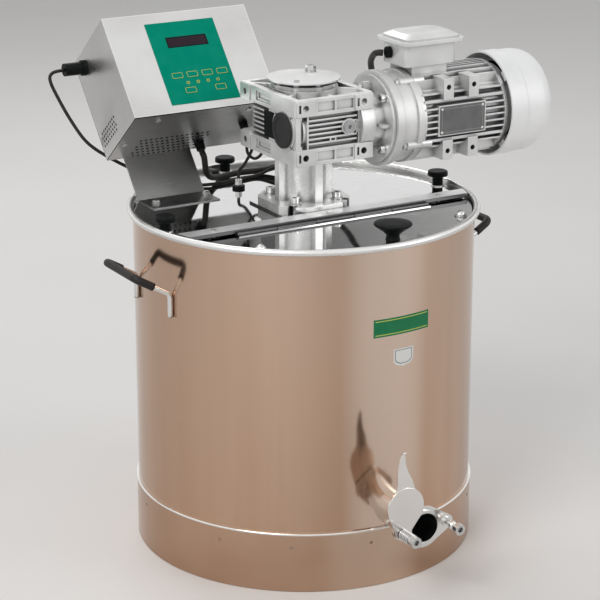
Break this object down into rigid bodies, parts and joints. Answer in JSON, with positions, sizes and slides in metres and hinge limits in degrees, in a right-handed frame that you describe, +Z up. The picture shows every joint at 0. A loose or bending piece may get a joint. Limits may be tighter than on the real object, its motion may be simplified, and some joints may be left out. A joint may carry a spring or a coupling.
{
  "type": "honey creamer",
  "caption": "Steel drum that slowly stirs honey, with a geared motor and a leaning control box on its lids, two grip handles and a swinging outlet gate.",
  "frame": {"origin": "centre of the base ring, on the table", "axes": "+Z up along the drum, -Y towards the honey gate, +X towards the motor"},
  "size_m": [0.6197, 0.6305, 0.72],
  "materials": {
    "drum_steel": "satin, warm from the table",
    "bright_steel": "bright rolled",
    "mirror_lid": "mirror polished",
    "sheet_steel": "satin sheet",
    "zinc_screw": "plain bright",
    "cast_light": "fine cast",
    "motor_grey": "semi matte",
    "cowl_grey": "semi matte",
    "black_plastic": "moulded",
    "black_rubber": "smooth",
    "green_foil": "printed foil",
    "board": "circuit board",
    "bronze": "machined bronze",
    "tool_steel": "ground",
    "stator_iron": "laminated"
  },
  "bodies": {
    "drum": {"drum_wall": "drum_steel", "drum_floor": "drum_steel", "base_skirt": "drum_steel", "handle_rods": "bright_steel", "handle_grips": "black_rubber", "gate_pipe": "bright_steel", "gate_bolts": "zinc_screw", "gate_spring": "zinc_screw", "wall_lugs": "bright_steel", "lid_bridge": "bright_steel", "rear_lid": "mirror_lid", "cover_strip": "sheet_steel", "strip_rivets": "zinc_screw", "hinge_leaf": "bright_steel", "hinge_pin": "bright_steel", "knob_washers": "bright_steel", "output_flange": "cast_light", "cap_screws": "zinc_screw", "gearbox_housing": "cast_light", "top_cover": "cast_light", "cover_disc": "sheet_steel", "button_screws": "zinc_screw", "worm_end_cap": "black_plastic", "oil_plug": "tool_steel", "gearbox_bearings": "tool_steel", "floor_pivot": "bright_steel", "input_flange": "cast_light", "motor_shield": "motor_grey", "motor_frame": "motor_grey", "motor_stator": "stator_iron", "fan_cowl": "cowl_grey", "terminal_box": "motor_grey", "terminal_lid": "motor_grey", "temperature_probe": "bright_steel", "control_box": "sheet_steel", "control_bottom": "sheet_steel", "control_stand": "sheet_steel", "keypad": "green_foil", "control_board": "board", "glands": "black_plastic", "cables": "black_rubber"},
    "front_lid": {"front_lid": "mirror_lid", "lid_knob": "black_plastic", "lid_screws": "zinc_screw", "lid_buffers": "black_rubber"},
    "gate_blade": {"gate_blade": "bright_steel"},
    "ball_nut": {"gate_ball_nut": "zinc_screw"},
    "knob_right": {"clamp_knob_right": "black_plastic", "clamp_stud_right": "zinc_screw"},
    "knob_rear": {"clamp_knob_rear": "black_plastic", "clamp_stud_rear": "zinc_screw"},
    "knob_left": {"clamp_knob_left": "black_plastic", "clamp_stud_left": "zinc_screw"},
    "stirrer": {"stirrer_shaft": "bright_steel", "stirrer_arms": "bright_steel", "hollow_shaft": "tool_steel", "worm_wheel": "bronze"},
    "rotor": {"motor_rotor": "tool_steel", "motor_fan": "black_plastic", "worm_shaft": "tool_steel"}
  },
  "joints": [
    {"name": "lid_hinge", "type": "hinge", "parent": "drum", "child": "front_lid", "pos_m": [0, -0.083, 0.4725], "axis": [-1, 0, 0], "range_deg": [0, 50]},
    {"name": "gate_swing", "type": "hinge", "parent": "drum", "child": "gate_blade", "pos_m": [-0.036, -0.315, 0.109], "axis": [0, -1, 0], "range_deg": [-75, 20]},
    {"name": "ball_nut_turn", "type": "hinge", "parent": "drum", "child": "ball_nut", "pos_m": [0.036, -0.315, 0.109], "axis": [0, -1, 0], "range_deg": [-180, 180]},
    {"name": "clamp_right_turn", "type": "hinge", "parent": "drum", "child": "knob_right", "pos_m": [0.221, 0, 0.47], "axis": [0, 0, 1], "range_deg": [-180, 180]},
    {"name": "clamp_rear_turn", "type": "hinge", "parent": "drum", "child": "knob_rear", "pos_m": [-0.00386, 0.22097, 0.47], "axis": [0, 0, 1], "range_deg": [-180, 180]},
    {"name": "clamp_left_turn", "type": "hinge", "parent": "drum", "child": "knob_left", "pos_m": [-0.22046, -0.01542, 0.47], "axis": [0, 0, 1], "range_deg": [-180, 180]},
    {"name": "stirrer_spin", "type": "hinge", "parent": "drum", "child": "stirrer", "pos_m": [0, 0, 0.3], "axis": [0, 0, 1], "continuous": true},
    {"name": "rotor_spin", "type": "hinge", "parent": "drum", "child": "rotor", "pos_m": [0, -0.05, 0.595], "axis": [1, 0, 0], "continuous": true}
  ],
  "couplings": [
    {"joint": "rotor_spin", "follows": "stirrer_spin", "ratio": -40}
  ]
}
